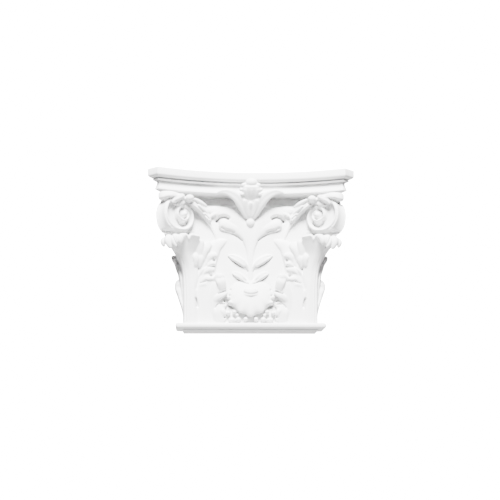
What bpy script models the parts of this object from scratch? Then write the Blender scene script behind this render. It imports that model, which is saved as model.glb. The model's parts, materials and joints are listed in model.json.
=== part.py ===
"""Corinthian pilaster capital: one white casting with a flat back, a concave
moulded abacus, diagonal volutes and acanthus leaves over a shallow bell."""

import math

import bmesh
import bpy
from mathutils import Vector

# Seat and neck, which meet the pilaster below
NECK_WIDTH = 0.200
NECK_DEPTH = 0.034
SEAT_HEIGHT = 0.0035
SEAT_FLARE = 0.0015
ASTRAGAL_HEIGHT = 0.0085
ASTRAGAL_OUT = 0.012
COVE_HEIGHT = 0.002

# Whole height and the moulded abacus on top
HEIGHT = 0.240
ABACUS_HEIGHT = 0.030
HORN_X = 0.140
HORN_DEPTH = 0.082
HORN_CHAMFER = 0.015
ABACUS_SAG = 0.032
FASCIA_HEIGHT = 0.0092
FASCIA_ROUND = 0.0044
GROOVE_IN = 0.0085
FILLET_IN = 0.0060
FILLET_HEIGHT = 0.0025
GROOVE_HEIGHT = 0.0013
LOWER_MEMBER_IN = 0.0105

# Bell behind the leaves
BELL_MARGIN = 0.004
BELL_CORNER = 0.008
BELL_NECK_IN = 0.003

# Volutes, turned towards the corners
VOLUTE_REACH = 0.037
VOLUTE_WIDTH = 0.018
VOLUTE_TURN = math.radians(38)
VOLUTE_RIM = 0.0040
VOLUTE_X = 104
VOLUTE_OUT = 13
VOLUTE_UP = 82.1
VOLUTE_TURNS = 1.75
VOLUTE_SHRINK = (0.76, 1.0, 0.72, 0.48, 0.38, 0.40, 0.33, 0.24)
VOLUTE_FLARE = 0.006

# Flower at the foot of the bell
FLOWER_RADIUS = 0.029
FLOWER_RISE = 0.010
FLOWER_LEAN = math.radians(13)
FLOWER_UP = 17.8
PEARL_RADIUS = 0.0064

# Leaf that stands at each corner
LEAF_THICKNESS = 0.0045

# Worked out from the sizes above
HALF_NECK = NECK_WIDTH / 2
WALL_Y = NECK_DEPTH / 2
BELL_FOOT = SEAT_HEIGHT + ASTRAGAL_HEIGHT + COVE_HEIGHT
ABACUS_FOOT = HEIGHT - ABACUS_HEIGHT
BELL_HEIGHT = ABACUS_FOOT - BELL_FOOT
BELL_FACE = NECK_DEPTH - BELL_MARGIN / 2
ABACUS_FACE = HORN_DEPTH - ABACUS_SAG
MODULE = BELL_HEIGHT / 196
OVERLAP = 0.001

# Fineness of the carving
LOBE_RINGS = 5
LOBE_SIDES = 6
ARC_STEPS = 14

FRONT = Vector((0, -1, 0))
UP = Vector((0, 0, 1))


def clear_scene():
    for old in list(bpy.data.objects):
        bpy.data.objects.remove(old, do_unlink=True)


def make_material():
    plaster = bpy.data.materials.new("matt white casting")
    plaster.use_nodes = True
    shader = plaster.node_tree.nodes["Principled BSDF"]
    shader.inputs["Base Color"].default_value = (0.85, 0.85, 0.84, 1)
    shader.inputs["Roughness"].default_value = 0.6
    shader.inputs["Metallic"].default_value = 0.0
    return plaster


def make_object(name, bm, collection, material, helper):
    """Closes a bmesh into an object, with its faces pointing out."""
    bmesh.ops.remove_doubles(bm, verts=bm.verts, dist=1e-6)
    if bm.calc_volume(signed=True) < 0:
        bmesh.ops.reverse_faces(bm, faces=bm.faces)
    mesh = bpy.data.meshes.new(name)
    bm.to_mesh(mesh)
    bm.free()
    mesh.materials.append(material)
    mesh.shade_smooth()
    mesh.set_sharp_from_angle(angle=math.radians(40))
    made = bpy.data.objects.new(name, mesh)
    collection.objects.link(made)
    if helper:
        made.hide_render = True
        made.display_type = "WIRE"
    return made


def spline(values, share):
    """Smooth value at a share of the way along evenly spaced values."""
    last = len(values) - 1
    along = min(max(share, 0.0), 1.0) * last
    index = min(int(along), last - 1)
    step = along - index
    before = values[max(index - 1, 0)]
    start = values[index]
    end = values[index + 1]
    after = values[min(index + 2, last)]
    slope = (end - before) * step
    bend = (before * 2 - start * 5 + end * 4 - after) * step ** 2
    twist = (start * 3 - before - end * 3 + after) * step ** 3
    return (start * 2 + slope + bend + twist) * 0.5


def place(x, out, z):
    """Point in front of the bell: percent of the half neck and modules past it, modules out, percent up."""
    past = max(x - 100, 0)
    return Vector(((x - past) * HALF_NECK / 100 + past * MODULE, WALL_Y - BELL_FACE - out * MODULE,
                   BELL_FOOT + z * BELL_HEIGHT / 100))


def side_place(out, depth, z):
    """Point beside the bell: modules out from the neck's side, percent of the depth, percent up."""
    x = HALF_NECK - BELL_MARGIN + out * MODULE
    return Vector((x, WALL_Y - depth * NECK_DEPTH / 100, BELL_FOOT + z * BELL_HEIGHT / 100))


class Carver:
    """Keeps the collection and the material that every carved solid shares."""

    def __init__(self, collection, material):
        self.collection = collection
        self.material = material

    def finish(self, name, bm, paired):
        sides = (1, -1) if paired else (1,)
        for side in sides:
            copy = bm.copy()
            for vert in copy.verts:
                vert.co.x *= side
            label = name if side > 0 else name + "_mirrored"
            make_object(label, copy, self.collection, self.material, True)
        bm.free()

    def lobe(self, name, path, widths, rises, facing=FRONT, sink=3.0, groove=0.0, square=1.0,
             rings=LOBE_RINGS, sides=LOBE_SIDES, paired=True):
        """Closed swept solid: a sphere whose rings follow the path, with a width and a rise."""
        bm = bmesh.new()
        bmesh.ops.create_uvsphere(bm, u_segments=sides, v_segments=rings, radius=1)
        for vert in bm.verts:
            share = math.acos(min(max(vert.co.z, -1), 1)) / math.pi
            radius = math.hypot(vert.co.x, vert.co.y)
            centre = spline(path, share)
            if radius < 1e-4:
                vert.co = centre
                continue
            across = vert.co.x / radius
            lift = vert.co.y / radius
            tangent = (spline(path, share + 0.02) - spline(path, share - 0.02)).normalized()
            outward = facing(share) if callable(facing) else facing
            outward = (outward - tangent * outward.dot(tangent)).normalized()
            sideways = tangent.cross(outward)
            wide = math.copysign(abs(across) ** square, across) * spline(widths, share)
            high = lift * (spline(rises, share) if lift > 0 else sink)
            if lift > 0.5 and abs(across) < 0.6:
                high -= groove
            vert.co = centre + (sideways * wide + outward * high) * MODULE
        self.finish(name, bm, paired)

    def ball(self, name, centre, radius, paired=False, rings=6, sides=8):
        bm = bmesh.new()
        bmesh.ops.create_uvsphere(bm, u_segments=sides, v_segments=rings, radius=radius)
        bmesh.ops.translate(bm, verts=bm.verts, vec=centre)
        self.finish(name, bm, paired)


def raised_outline(name, outlines, collection, material, helper):
    """Solid whose plan outline is extruded from level to level: (height, outline) pairs."""
    bm = bmesh.new()
    height, outline = outlines[0]
    ring = [bm.verts.new((x, WALL_Y - depth, height)) for x, depth in outline]
    floor = bm.faces.new(ring)
    cap = floor
    for height, outline in outlines[1:]:
        grown = bmesh.ops.extrude_face_region(bm, geom=[cap])["geom"]
        if cap is not floor:
            bmesh.ops.delete(bm, geom=[cap], context="FACES_ONLY")
        cap = [item for item in grown if isinstance(item, bmesh.types.BMFace)][0]
        for loop, (x, depth) in zip(cap.loops, outline):
            loop.vert.co = (x, WALL_Y - depth, height)
    bmesh.ops.recalc_face_normals(bm, faces=bm.faces)
    return make_object(name, bm, collection, material, helper)


def abacus_outline(inset):
    """Plan of the abacus, set in all round: concave front and sides, cut horns."""
    radius = (HORN_X ** 2 + ABACUS_SAG ** 2) / (2 * ABACUS_SAG)
    grown = radius + inset
    front_centre = ABACUS_FACE + radius
    cut = HORN_X + HORN_DEPTH - inset * math.sqrt(2)
    side_x = HORN_X + HORN_CHAMFER - ABACUS_SAG + radius
    side_depth = HORN_DEPTH - HORN_CHAMFER - HORN_X
    gap = cut - front_centre
    front_end = (gap + math.sqrt(2 * grown ** 2 - gap ** 2)) / 2
    reach = cut - side_depth
    side_end = (side_x + reach - math.sqrt(2 * grown ** 2 - (side_x - reach) ** 2)) / 2
    side_top = cut - side_end
    half = []
    for step in range(ARC_STEPS // 4 + 1):
        depth = side_top * step / (ARC_STEPS // 4)
        half.append((side_x - math.sqrt(grown ** 2 - (depth - side_depth) ** 2), depth))
    front = []
    for step in range(ARC_STEPS + 1):
        x = front_end * (1 - 2 * step / ARC_STEPS)
        front.append((x, front_centre - math.sqrt(grown ** 2 - x ** 2)))
    return half + front + [(-x, depth) for x, depth in reversed(half)]


def make_abacus(collection, material):
    under_fascia = HEIGHT - FASCIA_HEIGHT
    fillet_top = under_fascia - FASCIA_ROUND - GROOVE_HEIGHT
    fillet_foot = fillet_top - FILLET_HEIGHT
    member_top = fillet_foot - GROOVE_HEIGHT
    levels = [(HEIGHT, 0), (under_fascia, 0)]
    for step in range(1, 3):
        turn = math.radians(45 * step)
        drop = FASCIA_ROUND * math.sin(turn)
        levels.append((under_fascia - drop, FILLET_IN * (1 - math.cos(turn))))
    levels += [(fillet_top + GROOVE_HEIGHT, GROOVE_IN), (fillet_top, GROOVE_IN), (fillet_top, FILLET_IN)]
    levels += [(fillet_foot, FILLET_IN), (fillet_foot, GROOVE_IN + LOWER_MEMBER_IN / 6)]
    levels += [(member_top, GROOVE_IN + LOWER_MEMBER_IN / 6), (member_top - GROOVE_HEIGHT, LOWER_MEMBER_IN)]
    levels += [(ABACUS_FOOT + GROOVE_HEIGHT, LOWER_MEMBER_IN - GROOVE_HEIGHT / 2)]
    levels += [(ABACUS_FOOT, LOWER_MEMBER_IN + GROOVE_HEIGHT)]
    outlines = [(height, abacus_outline(inset)) for height, inset in levels]
    return raised_outline("abacus", outlines, collection, material, True)


def neck_outline(out):
    half = HALF_NECK + out
    return [(half, 0), (half, NECK_DEPTH + out), (-half, NECK_DEPTH + out), (-half, 0)]


def make_foot(collection, material):
    """Seat fillet with the half-round astragal that returns along the sides."""
    levels = [(0, 0), (SEAT_HEIGHT, SEAT_FLARE)]
    half_round = ASTRAGAL_HEIGHT / 2
    straight = ASTRAGAL_OUT - half_round
    for step in range(7):
        turn = math.pi * step / 6
        height = SEAT_HEIGHT + half_round * (1 - math.cos(turn))
        levels.append((height, straight + half_round * math.sin(turn)))
    levels.append((BELL_FOOT, -BELL_MARGIN))
    outlines = [(height, neck_outline(out)) for height, out in levels]
    return raised_outline("foot", outlines, collection, material, True)


def bell_outline(side, face):
    corner = BELL_CORNER
    half = [(side, 0)]
    for step in range(4):
        turn = math.radians(30 * step)
        half.append((side - corner * (1 - math.cos(turn)), face - corner * (1 - math.sin(turn))))
    return half + [(-x, depth) for x, depth in reversed(half)]


def make_bell(collection, material, name="capital"):
    """Core of the casting, a little slimmer under the abacus."""
    levels = []
    side = HALF_NECK - BELL_MARGIN
    for share, out, back in ((0, 1.5, 0), (30, 1.5, 0), (60, 2.5, 0), (80, 5, 0), (90, 7, 0.6), (101, 8, 1)):
        height = BELL_FOOT + BELL_HEIGHT * share / 100
        levels.append((height, bell_outline(side + out * MODULE, BELL_FACE - back * BELL_NECK_IN)))
    levels[0] = (BELL_FOOT - OVERLAP, levels[0][1])
    return raised_outline(name, levels, collection, material, False)


def carve_stem(carver):
    """Upright stem with three pairs of leaves and the pearl between the top two."""
    carver.lobe("stem", [place(0, 1, 26), place(0, 2, 52), place(0, 3, 80)], [4, 4.2, 5], [3, 3, 3],
                paired=False)
    low_leaves = (("low_leaf", 28.5, 39.5, 33), ("middle_leaf", 42, 53.5, 36))
    for name, root, tip, reach in low_leaves:
        path = [place(3, 4, root), place(12, 7, root + (tip - root) * 0.5),
                place(22, 9, root + (tip - root) * 0.86), place(reach, 10, tip)]
        carver.lobe(name, path, [2, 4.5, 4.8, 1.2], [2, 4, 4, 1.5], sink=7, groove=1)
    blade = [place(2, 4, 44), place(8, 7, 60), place(17, 8, 74), place(32, 9, 82), place(50, 8, 85),
             place(66, 6, 86)]
    carver.lobe("top_leaf", blade, [2.5, 6, 13, 17, 14, 5], [2, 4, 5, 6, 6, 3], sink=8, rings=9, sides=8)
    curl = [place(12, 8, 66), place(21, 12, 72), place(33, 16, 75), place(47, 18, 75.5)]
    carver.lobe("top_leaf_curl", curl, [3, 7, 8.5, 6.5], [3, 5, 6.5, 5], sink=9)
    carver.ball("stem_pearl", place(0, 7, 76.2), PEARL_RADIUS)


def carve_calyx(carver):
    """Leaf with two wings under the abacus, and the flower on the abacus face."""
    drop = [place(0, 6, 80), place(0, 13, 86), place(0, 19, 93), place(0, 26, 99)]
    carver.lobe("calyx", drop, [2, 9, 12, 13], [2, 4, 5, 5], sink=22, paired=False, sides=8)
    wing = [place(1, 9, 84), place(12, 14, 91.5), place(23, 19, 97), place(35, 22, 100), place(50, 22, 98.6)]
    carver.lobe("calyx_wing", wing, [6, 10, 7, 4.5, 1], [3, 3, 3, 3, 1.5], sink=13, rings=7)
    centre = Vector((0, WALL_Y - ABACUS_FACE, ABACUS_FOOT))
    heart = centre + Vector((0, -3, 6)) * MODULE
    carver.ball("fleuron_heart", heart, 13 * MODULE)
    petals = (("top", 0, 12, 9, False), ("side", 13, 7, 6.5, True), ("low", 11, -4, 6, True))
    for name, x, z, size, paired in petals:
        end = centre + Vector((x, -15, z)) * MODULE
        middle = (heart + end) / 2 + FRONT * MODULE
        carver.lobe("fleuron_" + name, [heart, middle, end], [size * 0.7, size, size * 0.8],
                    [size * 0.6, size * 0.6, size * 0.5], sink=size * 0.6, facing=UP, paired=paired)


def carve_flower(carver):
    """Domed flower at the foot of the bell: its lower rim stands clear over a row of beads."""
    centre = place(0, 3, FLOWER_UP)
    lean = math.sin(FLOWER_LEAN)
    bm = bmesh.new()
    bmesh.ops.create_uvsphere(bm, u_segments=20, v_segments=6, radius=1)
    for vert in bm.verts:
        turn = math.atan2(vert.co.z, vert.co.x)
        scallop = 1 + 0.04 * math.cos(10 * turn) if vert.co.z < 0 else 1
        bulge = FLOWER_RISE if vert.co.y < 0 else FLOWER_RISE / 3
        spread = FLOWER_RADIUS * scallop
        depth = vert.co.y * bulge + vert.co.z * spread * lean
        vert.co = centre + Vector((vert.co.x * spread, depth, vert.co.z * spread))
    carver.finish("flower", bm, False)
    button = centre + Vector((0, -5, 5)) * MODULE
    reach = button + FRONT * 9 * MODULE
    carver.lobe("knop", [button, reach], [10, 10], [4.5, 4.5], sink=4.5, facing=UP, paired=False, sides=10)
    root = place(0, -2, FLOWER_UP)
    sizes = (3.6, 5.5, 5, 5.5, 5, 4.5)
    for bead, size in enumerate(sizes):
        turn = math.radians(-72 + 15 * bead)
        spot = root + Vector((math.cos(turn) * 32.5, -size * 0.9, math.sin(turn) * 32.5)) * MODULE
        carver.ball("bead_%d" % bead, spot, size * MODULE, paired=True, rings=4, sides=6)


def carve_inner_leaves(carver):
    """Two leaves between the corner leaf and the flower, with lobes towards the centre."""
    tall = [place(74, 3, 20), place(72, 6, 36), place(66, 8, 48), place(56, 9, 57), place(38, 9, 60)]
    carver.lobe("tall_leaf", tall, [10, 11, 12, 10, 3], [4, 4, 4, 3, 2], sink=6, rings=7, groove=0.8)
    short = [place(63, 4, -1), place(63, 7, 16), place(58, 10, 30), place(46, 14, 35.5), place(37, 15, 30)]
    carver.lobe("short_leaf", short, [15, 15, 12, 6, 4], [4, 4, 4, 4, 3], sink=9, rings=7, groove=0.8)
    tiers = (("tall_upper", 66, 45, 50, 49, 5.5, 9), ("tall_middle", 66, 40, 51, 44, 5.5, 9),
             ("tall_lower", 66, 33, 52, 36, 6, 9), ("short_upper", 56, 20, 36, 24, 5, 11),
             ("short_middle", 54, 13, 37, 17, 5, 10), ("short_lower", 52, 3, 34, 7, 7, 8))
    for name, root_x, root_z, end_x, end_z, size, lift in tiers:
        path = [place(root_x, lift - 3, root_z), place((root_x + end_x) / 2, lift, (root_z + end_z) / 2 + 1),
                place(end_x, lift + 1, end_z)]
        carver.lobe(name, path, [size * 0.6, size, size * 0.8], [3, 4, 3.5], sink=lift, groove=0.8, rings=4)


def corner_leaf_point(across, up):
    """Surface of the corner leaf: across is 0 on its midrib and 1 at the inner edge."""
    rows = (((98.5, 4, -1), (90, 6.5, -1), (80, 6, -1), (71, 1, -1)),
            ((99, 4.5, 25), (90, 7, 25), (81, 6.5, 25), (74, 2, 25)),
            ((102, 8.5, 43), (94, 11, 43), (85, 11.5, 43), (77, 7, 43)),
            ((112, 18.5, 53), (102, 22, 54), (91, 21.5, 55), (76, 14, 55)),
            ((127, 33, 60), (111, 37, 65), (93, 35, 66.2), (73, 24, 64)))
    columns = [spline([place(*spot) for spot in row], across) for row in rows]
    return spline(columns, up)


def carve_corner_leaf(carver):
    """Leaf that wraps the corner, flares towards the horn and curls over in toes."""
    bm = bmesh.new()
    columns = 8
    rows = 6
    bmesh.ops.create_grid(bm, x_segments=columns, y_segments=rows, size=1)
    diagonal = HALF_NECK - BELL_MARGIN + WALL_Y - NECK_DEPTH
    for vert in bm.verts:
        across = vert.co.x
        up = (vert.co.y + 1) / 2
        point = corner_leaf_point(abs(across), up)
        if across < 0:
            point = Vector((diagonal - point.y, diagonal - point.x, point.z))
        vert.co = point
    bmesh.ops.recalc_face_normals(bm, faces=bm.faces)
    middle = min(bm.faces, key=lambda face: face.calc_center_median().y)
    if middle.normal.y > 0:
        bmesh.ops.reverse_faces(bm, faces=bm.faces)
    bmesh.ops.solidify(bm, geom=bm.faces[:], thickness=LEAF_THICKNESS)
    carver.finish("corner_leaf", bm, True)
    root = [place(90, 0, -2), place(90, 0, 20), place(91, 2, 42)]
    carver.lobe("corner_root", root, [8, 8, 6], [4, 4, 3], sink=7, square=0.6)


def volute_frame():
    """Centre of the volute's middle plane, its outward direction and its axis."""
    outward = Vector((math.cos(VOLUTE_TURN), -math.sin(VOLUTE_TURN), 0))
    axis = Vector((-math.sin(VOLUTE_TURN), -math.cos(VOLUTE_TURN), 0))
    centre = place(VOLUTE_X, VOLUTE_OUT, VOLUTE_UP)
    return centre, outward, axis


def volute_radius(turns):
    """Outer radius of the spiral after some turns from its top."""
    return VOLUTE_REACH * spline(VOLUTE_SHRINK, turns * 4 / (len(VOLUTE_SHRINK) - 1))


def carve_volute(carver):
    """Diagonal scroll: a ribbon rises from the bell and winds round a sunk disc and an eye."""
    centre, outward, axis = volute_frame()

    def on_spiral(turns, inset):
        turn = turns * 2 * math.pi
        radius = volute_radius(turns) - inset
        return centre + (outward * math.sin(turn) + UP * math.cos(turn)) * radius

    path = [place(50, 1, 59), place(57, 4, 67), place(65, 9, 76), place(76, 15, 84), place(89, 20, 90)]
    steps = 12
    path += [on_spiral(VOLUTE_TURNS * step / steps, VOLUTE_RIM / 2) for step in range(steps + 1)]
    half = VOLUTE_WIDTH / 2 / MODULE
    rim = VOLUTE_RIM / 2 / MODULE

    def away(share):
        return spline(path, share) - centre

    widths = [2, 3, 5] + [half] * 6
    carver.lobe("volute_ribbon", path, widths, [rim] * 2, facing=away, sink=rim, square=0.5, rings=28,
                sides=6)
    bm = bmesh.new()
    bmesh.ops.create_cone(bm, cap_ends=True, segments=20, radius1=1, radius2=1, depth=2)
    for vert in bm.verts:
        turn = math.atan2(vert.co.x, vert.co.y) % (2 * math.pi)
        far = vert.co.z < 0
        side = -VOLUTE_WIDTH / 2 if far else VOLUTE_WIDTH * 0.36
        flare = VOLUTE_FLARE * max(0, math.cos(turn - 2.1)) ** 2 if far else 0
        vert.co = on_spiral(turn / 2 / math.pi, VOLUTE_RIM / 2 - flare) + axis * side
    carver.finish("volute_disc", bm, True)
    eye = VOLUTE_REACH * VOLUTE_SHRINK[-1] / MODULE
    reach = axis * VOLUTE_WIDTH * 0.62
    carver.lobe("volute_eye", [centre - reach, centre, centre + reach], [eye * 0.7, eye, eye * 0.7],
                [eye * 0.7, eye, eye * 0.7], facing=UP, sink=eye * 0.8, sides=8)


def carve_husks(carver):
    """Blade under the horn, bud and husks that run down beside the volute's ribbon."""
    blade = [place(134, 36, 92.5), place(125, 38, 94), place(113, 35, 93), place(103, 30, 90)]
    carver.lobe("horn_blade", blade, [2, 6, 6, 3], [3, 4, 4, 3], sink=6, facing=FRONT)
    knot = [place(94, 26, 93), place(102, 29, 92), place(112, 33, 88)]
    carver.lobe("knot", knot, [3, 4.5, 3], [3, 4.5, 3], sink=6)
    carver.ball("bud", place(91, 24, 92.4), 6 * MODULE, paired=True, rings=4, sides=6)
    husks = ((84, 20, 90.5, 73, 16, 85, 4.5), (74, 14, 88, 62, 12, 84, 4), (69, 7, 79.5, 61, 5, 74, 3.5))
    for number, (x, out, z, end_x, end_out, end_z, size) in enumerate(husks):
        path = [place(x, out, z), place((x + end_x) / 2, (out + end_out) / 2 + 1, (z + end_z) / 2 + 1),
                place(end_x, end_out, end_z)]
        carver.lobe("husk_%d" % number, path, [size * 0.7, size, size * 0.6], [4, 5, 3], sink=9, rings=4)


def carve_horn_web(carver):
    """Solid mass behind the volute that carries the horn of the abacus."""
    path = [place(80, -8, 99.5), place(104, 6, 99.5), place(124, 20, 99.5), place(137, 30, 99.5)]
    carver.lobe("horn_web", path, [9, 9, 8, 6], [4, 4, 4, 4], facing=UP, sink=14)


def carve_toes(carver):
    """Curled ends of the corner leaf, side by side below the volute."""
    toes = ((131, 28, 61, 4), (120.5, 34, 61.8, 7), (107.5, 34, 62.6, 6.5))
    for number, (x, out, z, size) in enumerate(toes):
        path = [place(x - 4, out - 8, z + 1), place(x + 1, out - 1, z), place(x + 3, out + 3, z - 5)]
        carver.lobe("toe_%d" % number, path, [size, size, size * 0.8], [3, 4, 3], sink=3)


def carve_side_leaves(carver):
    """Half leaves on the narrow side faces, whose curls show in the outline."""
    out_to_side = Vector((1, 0, 0))
    tall = [side_place(2, 30, -1), side_place(7, 32, 22), side_place(12, 34, 36), side_place(21, 36, 49)]
    carver.lobe("side_tall_leaf", tall, [9, 9, 9, 6], [3, 3, 3, 3], facing=out_to_side, sink=6, rings=7)
    short = [side_place(3, 62, -1), side_place(8, 62, 12), side_place(13, 60, 22), side_place(14, 60, 28)]
    carver.lobe("side_short_leaf", short, [7, 7, 6, 4], [3, 3, 3, 2], facing=out_to_side, sink=8)


def cast_together(body, carved):
    """Joins every carved solid to the bell as one casting and shades its round parts smooth."""
    union = body.modifiers.new("casting", "BOOLEAN")
    union.operation = "UNION"
    union.operand_type = "COLLECTION"
    union.collection = carved
    union.use_self = True
    view = bpy.context.evaluated_depsgraph_get()
    joined = bpy.data.meshes.new_from_object(body.evaluated_get(view))
    body.modifiers.remove(union)
    body.data = joined
    joined.shade_smooth()
    joined.set_sharp_from_angle(angle=math.radians(35))
    for helper in list(carved.objects):
        bpy.data.objects.remove(helper, do_unlink=True)
    bpy.data.collections.remove(carved)


def build():
    clear_scene()
    material = make_material()
    capital = bpy.data.collections.new("corinthian_capital")
    helpers = bpy.data.collections.new("carved_solids")
    for collection in (capital, helpers):
        bpy.context.scene.collection.children.link(collection)
    body = make_bell(capital, material)
    make_abacus(helpers, material)
    make_foot(helpers, material)
    carver = Carver(helpers, material)
    carve_stem(carver)
    carve_calyx(carver)
    carve_flower(carver)
    carve_inner_leaves(carver)
    carve_corner_leaf(carver)
    carve_volute(carver)
    carve_horn_web(carver)
    carve_husks(carver)
    carve_toes(carver)
    carve_side_leaves(carver)
    cast_together(body, helpers)


build()
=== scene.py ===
import json
import math

import bpy
import numpy as np
from bpy.props import FloatProperty, FloatVectorProperty, IntProperty, PointerProperty
from mathutils import Matrix, Vector

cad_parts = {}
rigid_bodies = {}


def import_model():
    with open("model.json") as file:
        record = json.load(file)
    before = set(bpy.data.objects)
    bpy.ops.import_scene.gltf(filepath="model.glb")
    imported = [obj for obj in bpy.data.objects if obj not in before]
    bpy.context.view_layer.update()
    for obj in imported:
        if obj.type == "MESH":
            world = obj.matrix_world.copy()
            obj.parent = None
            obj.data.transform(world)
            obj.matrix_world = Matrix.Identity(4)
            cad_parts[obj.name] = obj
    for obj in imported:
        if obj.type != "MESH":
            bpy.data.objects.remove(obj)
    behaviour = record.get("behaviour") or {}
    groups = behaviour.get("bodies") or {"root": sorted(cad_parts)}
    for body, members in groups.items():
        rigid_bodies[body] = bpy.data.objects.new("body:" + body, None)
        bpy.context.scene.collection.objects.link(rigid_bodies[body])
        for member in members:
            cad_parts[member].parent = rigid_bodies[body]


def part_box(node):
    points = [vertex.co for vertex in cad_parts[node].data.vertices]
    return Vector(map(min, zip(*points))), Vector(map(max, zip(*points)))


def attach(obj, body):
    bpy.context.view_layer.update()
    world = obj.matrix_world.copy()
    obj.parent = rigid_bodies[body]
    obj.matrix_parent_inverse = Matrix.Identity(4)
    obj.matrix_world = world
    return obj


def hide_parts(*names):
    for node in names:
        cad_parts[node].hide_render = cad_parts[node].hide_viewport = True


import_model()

bl_info = {
    "name": "Corinthian pilaster capital",
    "version": (1, 0, 0),
    "blender": (4, 5, 0),
    "location": "View3D > Sidebar > Capital",
    "description": "Carves the capital's leaves, volutes and mouldings and casts them as one piece",
    "category": "Add Mesh",
}

LOWEST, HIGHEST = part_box("capital")
WALL_Y = HIGHEST[1]
TOP = HIGHEST[2]
FRONT = (0, -1, 0)
MM = 0.001

# Camera and studio: the photograph in pixels, the film in millimetres, places in metres
PHOTO_WIDTH = 500
FOCAL_LENGTH = 1089
FILM_WIDTH = 36
CAMERA_X, CAMERA_OUT, CAMERA_Z = -0.087, 1.649, -0.184
CAMERA_YAW = math.radians(3.06)
CAMERA_PITCH = math.radians(10.766)
CAMERA_ROLL = math.radians(-0.24)
LAMP_PLACE = (-0.1, -1.5, 1.75)
LAMP_AIM = (0, 0, 0.12)
LAMP_SIZE = 0.9
LAMP_POWER = 600.0
AMBIENT_LIGHT = 0.04
BACKDROP_LIGHT = 25.0
FLOOR_SIZE = 3.0
FLOOR_Z = -1.2

# Block behind the wall's face that cuts the back flat, in metres
CUTTER_SIZE = (0.5, 0.1, 0.4)
CUTTER_PLACE = (0, WALL_Y + CUTTER_SIZE[1] / 2, 0.12)

# Distance from the wall where fine cuts begin, and over which they deepen, in millimetres
CUT_STARTS = 27
CUT_FADES = 5

SMOOTH_ANGLE = math.radians(38)


class CapitalSizes(bpy.types.PropertyGroup):
    """Sizes of the mouldings, the bell and the volutes"""
    neck_width: FloatProperty(name="Neck width", description="Width of the seat on the pilaster",
                              default=0.200, unit="LENGTH")
    neck_depth: FloatProperty(name="Neck depth", description="Depth of the seat from the wall",
                              default=0.034, unit="LENGTH")
    seat_height: FloatProperty(name="Seat height", description="Fillet below the astragal",
                               default=0.0035, unit="LENGTH")
    seat_flare: FloatProperty(name="Seat flare", description="How far the fillet widens to its top",
                              default=0.0015, unit="LENGTH")
    astragal_height: FloatProperty(name="Astragal height", description="Half-round moulding at the foot",
                                   default=0.0085, unit="LENGTH")
    astragal_out: FloatProperty(name="Astragal projection", description="How far the astragal stands out",
                                default=0.012, unit="LENGTH")
    abacus_height: FloatProperty(name="Abacus height", description="Height of the moulded top plate",
                                 default=0.030, unit="LENGTH")
    horn_x: FloatProperty(name="Horn reach", description="Front corner of the horn from the centre line",
                          default=0.140, unit="LENGTH")
    horn_depth: FloatProperty(name="Horn depth", description="Front corner of the horn from the wall",
                              default=WALL_Y - LOWEST[1], unit="LENGTH")
    horn_chamfer: FloatProperty(name="Horn cut", description="Cut across the tip of the horn",
                                default=0.015, unit="LENGTH")
    abacus_sag: FloatProperty(name="Abacus hollow", description="How far the front and sides curve in",
                              default=0.032, unit="LENGTH")
    bell_side: FloatProperty(name="Bell half width", description="Side of the bell from the centre line",
                             default=0.094, unit="LENGTH")
    bell_face: FloatProperty(name="Bell depth", description="Face of the bell from the wall",
                             default=0.032, unit="LENGTH")
    volute_reach: FloatProperty(name="Volute reach", description="Largest radius of the scroll",
                                default=0.037, unit="LENGTH")
    volute_width: FloatProperty(name="Volute width", description="Width of the scroll's band",
                                default=0.018, unit="LENGTH")
    volute_turn: FloatProperty(name="Volute turn", description="How far the scroll turns to the corner",
                               default=math.radians(38), subtype="ANGLE")
    leaf_thickness: FloatProperty(name="Leaf thickness", description="Wall of the corner leaf",
                                  default=0.0045, unit="LENGTH")
    grain: FloatProperty(name="Carving grain", description="Finest detail that the casting keeps",
                         default=0.0008, unit="LENGTH")
    faces: IntProperty(name="Triangles", description="Most triangles of the finished casting",
                       default=185000)


class CapitalFinish(bpy.types.PropertyGroup):
    """Colours of the casting and of the studio"""
    plaster: FloatVectorProperty(name="Plaster", description="White of the matt casting", subtype="COLOR",
                                 size=3, default=(0.78, 0.78, 0.778))
    plaster_shade: FloatVectorProperty(name="Plaster shade", description="Slightly greyer patches",
                                       subtype="COLOR", size=3, default=(0.74, 0.74, 0.737))
    roughness: FloatProperty(name="Roughness", description="Roughness of the plaster", default=0.62)
    floor: FloatVectorProperty(name="Floor", description="Pale studio floor", subtype="COLOR", size=3,
                               default=(0.7, 0.7, 0.7))


# Shaping tools

def deselect_all():
    if bpy.context.object and bpy.context.object.mode != "OBJECT":
        bpy.ops.object.mode_set(mode="OBJECT")
    bpy.ops.object.select_all(action="DESELECT")


def select_only(objects):
    deselect_all()
    for piece in objects:
        piece.select_set(True)
    bpy.context.view_layer.objects.active = objects[0]


def apply_modifier(piece, kind, **settings):
    select_only([piece])
    modifier = piece.modifiers.new(kind.lower(), kind)
    for setting, value in settings.items():
        setattr(modifier, setting, value)
    bpy.ops.object.modifier_apply(modifier=modifier.name)


def join_pieces(pieces, name):
    select_only(pieces)
    bpy.ops.object.join()
    joined = bpy.context.object
    joined.name = name
    joined.data.name = name
    return joined


def points_of(piece):
    flat = np.empty(len(piece.data.vertices) * 3)
    piece.data.vertices.foreach_get("co", flat)
    return flat.reshape(-1, 3)


def set_points(piece, points):
    piece.data.vertices.foreach_set("co", np.ascontiguousarray(points).ravel())
    piece.data.update()


def ease(before, start, end, after, step):
    """Smooth value between start and end, which heeds the values before and after them."""
    slope = (end - before) * step
    bend = (before * 2 - start * 5 + end * 4 - after) * step ** 2
    twist = (start * 3 - before - end * 3 + after) * step ** 3
    return (start * 2 + slope + bend + twist) * 0.5


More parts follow.
